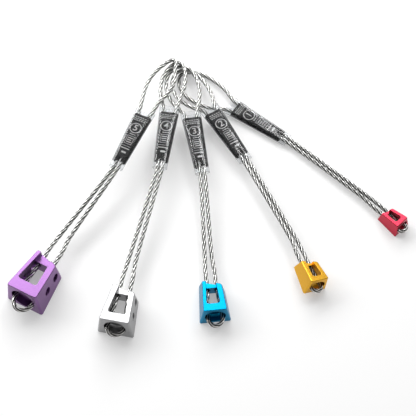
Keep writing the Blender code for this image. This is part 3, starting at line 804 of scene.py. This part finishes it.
def draw_film(name, half_length, depth, wall):
    """A flattened tube of film round the rope and ferrule."""
    clear_selection()
    bpy.ops.mesh.primitive_cylinder_add(
        vertices=TUBE_SIDES, radius=1.0, depth=2 * half_length, end_fill_type="NOTHING",
        location=ORIGIN, rotation=ALONG_X,
    )
    film = take(name)
    apply_place(film)
    choose(film, "EDGE", lambda edge: abs(edge_way(film, edge).x) > FACING)
    bpy.ops.mesh.subdivide(number_cuts=TUBE_RINGS)
    finish_editing()
    for vertex in film.data.vertices:
        angle = math.atan2(vertex.co.z, vertex.co.y)
        across, up = film_point(vertex.co.x, angle, depth)
        vertex.co = Vector((vertex.co.x, across, up)) * MM
    start_editing()
    turn_faces_out()
    finish_editing()
    add_modifier(film, "wall", "SOLIDIFY", thickness=wall * MM, offset=-1.0)
    smooth(film, FILM_SMOOTH_ANGLE)
    return film


# Print on the labels

def draw_bar(station, across, length, width):
    """One flat bar, with cuts across so that it can follow the film."""
    bpy.ops.mesh.primitive_plane_add(
        size=1.0, location=(station * MM, across * MM, PRINT_HEIGHT),
    )
    bar = take("bar")
    bar.scale = (length * MM, width * MM, 1.0)
    start_editing()
    cuts = LONG_BAR_CUTS if max(length, width) > LONG_BAR else SHORT_BAR_CUTS
    bpy.ops.mesh.subdivide(number_cuts=cuts)
    finish_editing()
    return bar


def draw_ring():
    """The flat ring round the number."""
    inner, outer = RING_RADII
    bpy.ops.mesh.primitive_circle_add(
        vertices=RING_SIDES, radius=outer * MM, fill_type="NOTHING", location=RING_CENTRE,
    )
    ring = take("ring")
    start_editing()
    bpy.ops.mesh.select_all(action="SELECT")
    bpy.ops.mesh.extrude_edges_move()
    bpy.ops.transform.resize(
        value=(inner / outer, inner / outer, 1.0), center_override=RING_CENTRE,
    )
    finish_editing()
    return ring


def draw_number(number):
    """The nut's number, upright when its clip loop is at the top."""
    bpy.ops.object.text_add(location=RING_CENTRE, rotation=(0.0, 0.0, math.pi / 2))
    text = bpy.context.object
    text.data.body = number
    text.data.size = NUMBER_SIZE * MM
    text.data.align_x = text.data.align_y = "CENTER"
    text.data.offset = NUMBER_WEIGHT * MM
    text.data.resolution_u = NUMBER_RESOLUTION
    bpy.ops.object.convert(target="MESH")
    return take("number")


def print_label(nut, label):
    """Join the marks of one label and lay them on its film."""
    clear_selection()
    marks = [draw_bar(*bar) for bar in PLAIN_BARS]
    for station in TICK_ROWS:
        for index in range(TICK_COUNT):
            across = (index - (TICK_COUNT - 1) / 2) * TICK_SPACING
            marks.append(draw_bar(station, across, *TICK_SIZE))
    marks += [draw_ring(), draw_number(nut.number)]
    clear_selection()
    for mark in marks:
        mark.select_set(True)
    bpy.context.view_layer.objects.active = marks[0]
    bpy.ops.object.join()
    ink = take("print_" + nut.name)
    apply_place(ink)
    start_editing()
    turn_faces_out()
    finish_editing()
    add_modifier(
        ink, "lay_on", "SHRINKWRAP", target=label, wrap_method="PROJECT", use_project_z=True,
        use_negative_direction=True, use_positive_direction=False, offset=PRINT_OFFSET,
    )
    add_modifier(ink, "film", "SOLIDIFY", thickness=PRINT_FILM, offset=1.0)
    return ink


# Materials

def new_material(name):
    """A material, with its node tree and its shader."""
    material = bpy.data.materials.new(name)
    material.use_nodes = True
    tree = material.node_tree
    return material, tree, tree.nodes["Principled BSDF"]


def add_node(tree, kind, **settings):
    """Add a node and set its inputs and properties."""
    made = tree.nodes.new(kind)
    for key, value in settings.items():
        if key in made.inputs:
            made.inputs[key].default_value = value
        else:
            setattr(made, key, value)
    return made


def link(tree, source, output, target, socket):
    """Lead a node's output to another node's input."""
    tree.links.new(source.outputs[output], target.inputs[socket])


def add_noise(tree, source, output, pattern):
    """Noise on the coordinates that another node gives."""
    scale, detail, roughness = pattern
    noise = add_node(tree, "ShaderNodeTexNoise", Scale=scale, Detail=detail, Roughness=roughness)
    link(tree, source, output, noise, "Vector")
    return noise


def object_noise(tree, pattern):
    """Noise on the piece's own coordinates."""
    return add_noise(tree, add_node(tree, "ShaderNodeTexCoord"), "Object", pattern)


def add_shades(tree, pattern, shades, stops=(0.0, 1.0)):
    """Colour a pattern from the first shade to the second, between two stops."""
    ramp = add_node(tree, "ShaderNodeValToRGB")
    for element, shade, stop in zip(ramp.color_ramp.elements, shades, stops):
        element.color = (*shade, 1.0)
        element.position = stop
    link(tree, pattern, "Fac", ramp, "Fac")
    return ramp


def add_gloss(tree, shader, pattern, gloss):
    """Let the roughness follow a pattern, from the first value to the second."""
    low, high = gloss
    spread = add_node(tree, "ShaderNodeMapRange", **{"To Min": low, "To Max": high})
    link(tree, pattern, "Fac", spread, "Value")
    link(tree, spread, "Result", shader, "Roughness")


def add_relief(tree, shader, pattern, strength, depth):
    """Let a pattern stand out of the surface."""
    relief = add_node(tree, "ShaderNodeBump", Strength=strength, Distance=depth)
    link(tree, pattern, "Fac", relief, "Height")
    link(tree, relief, "Normal", shader, "Normal")


def anodised(nut):
    """Anodised aluminium: fine machining lines over a lightly blasted grain.

    The turn acts after the stretch, so the lines run along X, and it gives each head its own.
    """
    material, tree, shader = new_material("anodised_head_" + nut.name)
    shader.inputs["Metallic"].default_value = 1.0
    where = add_node(tree, "ShaderNodeTexCoord")
    stretched = add_node(
        tree, "ShaderNodeMapping", Scale=MACHINING_STRETCH,
        Rotation=(0.0, 0.0, math.radians(-nut.head_turn)),
    )
    link(tree, where, "Object", stretched, "Vector")
    lines = add_noise(tree, stretched, "Vector", MACHINING_LINES)
    shades = add_shades(tree, lines, ANODISED[nut.name], ANODISED_STOPS)
    link(tree, shades, "Color", shader, "Base Color")
    add_gloss(tree, shader, lines, ANODISED_GLOSS)
    add_relief(tree, shader, add_noise(tree, where, "Object", BLASTED_GRAIN), *BLASTED_RELIEF)
    return material


def steel_rope():
    """Steel wires: bright crowns, painted shade and some dirt in the grooves, painted shade between
    the wires, and painted light on the bight.
    """
    material, tree, shader = new_material("steel_wires")
    shader.inputs["Metallic"].default_value = 1.0
    where = add_node(tree, "ShaderNodeUVMap", uv_map="wires")
    wires = add_node(
        tree, "ShaderNodeTexWave", Scale=WIRE_BANDS, wave_type="BANDS", bands_direction="Y",
    )
    link(tree, where, "UV", wires, "Vector")
    # Both ramps paint the valleys between the wires darker, as painted shade
    drawn = add_shades(tree, wires, STEEL_SHADES, STEEL_STOPS)
    lit_bight = add_shades(tree, wires, BIGHT_LIGHT_SHADES, STEEL_STOPS)
    # Painted light on the bight: the lighter steel takes over there
    bight_light_share = add_node(tree, "ShaderNodeAttribute", attribute_name="bight_light")
    steel_with_bight_light = add_node(tree, "ShaderNodeMix", data_type="RGBA")
    link(tree, bight_light_share, "Fac", steel_with_bight_light, "Factor")
    link(tree, drawn, "Color", steel_with_bight_light, FIRST_COLOUR)
    link(tree, lit_bight, "Color", steel_with_bight_light, SECOND_COLOUR)
    # Painted shade, partly dirt, deep in the grooves between the strands
    height = add_node(tree, "ShaderNodeAttribute", attribute_name="crown")
    groove_shade_and_dirt = add_shades(tree, height, GROOVE_SHADE_AND_DIRT, GROOVE_STOPS)
    shaded = add_node(
        tree, "ShaderNodeMix", data_type="RGBA", blend_type="MULTIPLY", Factor=1.0,
    )
    link(tree, steel_with_bight_light, MIXED_COLOUR, shaded, FIRST_COLOUR)
    link(tree, groove_shade_and_dirt, "Color", shaded, SECOND_COLOUR)
    link(tree, shaded, MIXED_COLOUR, shader, "Base Color")
    add_gloss(tree, shader, wires, STEEL_GLOSS)
    add_relief(tree, shader, wires, *WIRE_RELIEF)
    return material


def clear_film():
    """Clear shrink tube with slight unevenness."""
    material, tree, shader = new_material("clear_film")
    shader.inputs["Base Color"].default_value = CLEAR_TINT
    shader.inputs["Transmission Weight"].default_value = 1.0
    shader.inputs["IOR"].default_value = CLEAR_IOR
    waves = object_noise(tree, CLEAR_WAVES)
    add_gloss(tree, shader, waves, CLEAR_GLOSS)
    add_relief(tree, shader, waves, *CLEAR_RELIEF)
    return material


def black_film():
    """Printed black film."""
    material, tree, shader = new_material("black_film")
    shader.inputs["Specular IOR Level"].default_value = BLACK_SPECULAR
    waves = object_noise(tree, BLACK_WAVES)
    link(tree, add_shades(tree, waves, BLACK_SHADES), "Color", shader, "Base Color")
    add_gloss(tree, shader, waves, BLACK_GLOSS)
    return material


def pale_ink():
    """Pale printing ink, a little thin in places."""
    material, tree, shader = new_material("pale_ink")
    shader.inputs["Roughness"].default_value = INK_ROUGHNESS
    specks = object_noise(tree, INK_SPECKS)
    link(tree, add_shades(tree, specks, INK_SHADES, INK_STOPS), "Color", shader, "Base Color")
    return material


def pressed_metal():
    """Dull pressed metal of the ferrules."""
    material, tree, shader = new_material("pressed_metal")
    shader.inputs["Metallic"].default_value = 1.0
    grain = object_noise(tree, FERRULE_GRAIN)
    link(tree, add_shades(tree, grain, FERRULE_SHADES), "Color", shader, "Base Color")
    add_gloss(tree, shader, grain, FERRULE_GLOSS)
    return material


def pale_floor():
    """White paper, lifted towards white where the camera, metal or clear film sees it."""
    material, tree, shader = new_material("pale_floor")
    shader.inputs["Base Color"].default_value = FLOOR_COLOUR
    shader.inputs["Roughness"].default_value = FLOOR_ROUGHNESS
    shader.inputs["Specular IOR Level"].default_value = 0.0
    rays = add_node(tree, "ShaderNodeLightPath")
    direct = add_node(tree, "ShaderNodeMath", operation="MAXIMUM")
    seen = add_node(tree, "ShaderNodeMath", operation="MAXIMUM")
    lift = add_node(tree, "ShaderNodeMath", operation="MULTIPLY")
    lift.inputs[SECOND].default_value = FLOOR_LIFT
    white = add_node(tree, "ShaderNodeEmission", Strength=1.0)
    blend = add_node(tree, "ShaderNodeMixShader")
    link(tree, rays, "Is Camera Ray", direct, FIRST)
    link(tree, rays, "Is Glossy Ray", direct, SECOND)
    link(tree, direct, "Value", seen, FIRST)
    link(tree, rays, "Is Transmission Ray", seen, SECOND)
    link(tree, seen, "Value", lift, FIRST)
    link(tree, lift, "Value", blend, "Fac")
    link(tree, shader, "BSDF", blend, FIRST_SHADER)
    link(tree, white, "Emission", blend, SECOND_SHADER)
    link(tree, blend, "Shader", tree.nodes["Material Output"], "Surface")
    return material


# Stage

def set_world():
    """A plain grey room that is darker on the camera's side."""
    world = bpy.data.worlds.new("studio")
    world.use_nodes = True
    tree = world.node_tree
    background = tree.nodes["Background"]
    background.inputs["Color"].default_value = WHITE
    where = add_node(tree, "ShaderNodeTexCoord")
    sides = add_node(tree, "ShaderNodeSeparateXYZ")
    level = add_node(tree, "ShaderNodeMapRange", interpolation_type="SMOOTHSTEP")
    level.inputs["From Min"].default_value = -WORLD_BLEND
    level.inputs["From Max"].default_value = WORLD_BLEND
    level.inputs["To Min"].default_value = WORLD_FRONT
    level.inputs["To Max"].default_value = WORLD_BACK
    link(tree, where, "Generated", sides, "Vector")
    link(tree, sides, "Y", level, "Value")
    link(tree, level, "Result", background, "Strength")
    bpy.context.scene.world = world


def hang_lamp(bearing, rise, distance, size, level):
    """A soft box that faces the middle of the set."""
    bearing, rise = math.radians(bearing), math.radians(rise)
    flat = math.cos(rise)
    way = Vector((flat * math.sin(bearing), flat * math.cos(bearing), math.sin(rise)))
    bpy.ops.object.light_add(type="AREA", location=way * distance)
    lamp = bpy.context.object
    lamp.data.shape = "RECTANGLE"
    lamp.data.size, lamp.data.size_y = size
    lamp.data.energy = level * math.pi * size[0] * size[1]
    lamp.rotation_euler = (-way).to_track_quat("-Z", "Y").to_euler()


def set_stage():
    """Pale floor, soft light from behind and above, and the camera of the photograph."""
    scene = bpy.context.scene
    scene.view_settings.view_transform = "Standard"
    set_world()

    clear_selection()
    bpy.ops.mesh.primitive_plane_add(size=2 * FLOOR_HALF, location=ORIGIN)
    floor = take("floor")
    coat(floor, pale_floor())

    for lamp in LAMPS:
        hang_lamp(*lamp)

    bpy.ops.object.camera_add(location=CAMERA_PLACE, rotation=(CAMERA_TILT, 0.0, 0.0))
    camera = bpy.context.object
    camera.data.sensor_width = CAMERA_SENSOR
    camera.data.lens = CAMERA_LENS
    scene.camera = camera


def dress_set():
    """Build every nut's pieces and hand them to their bodies."""
    steel = steel_rope()
    film = clear_film()
    black = black_film()
    pale = pale_ink()
    metal = pressed_metal()
    for nut in NUTS:
        wire, head_body = nut.name + "_wire", nut.name + "_head"
        give(lay_rope(nut), wire, "cable_" + nut.name, steel)
        give(cut_head(nut), head_body, "head_" + nut.name, anodised(nut))
        sleeve = draw_film("clear_sleeve_" + nut.name, SLEEVE_HALF_LENGTH, 0.0, SLEEVE_WALL)
        lay_in_place(sleeve, nut.sleeve_place, nut.sleeve_turn)
        give(sleeve, wire, "sleeve_" + nut.name, film)
        label = draw_film("printed_label_" + nut.name, LABEL_HALF_LENGTH, LABEL_DEPTH, LABEL_FILM)
        ink = print_label(nut, label)
        lay_in_place(label, nut.sleeve_place, nut.sleeve_turn)
        give(label, wire, "label_" + nut.name, black)
        lay_in_place(ink, nut.sleeve_place, nut.sleeve_turn)
        coat(ink, pale)
        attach(ink, wire)
        coat(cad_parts["ferrule_" + nut.name], metal)


set_stage()
dress_set()
bpy.context.view_layer.update()
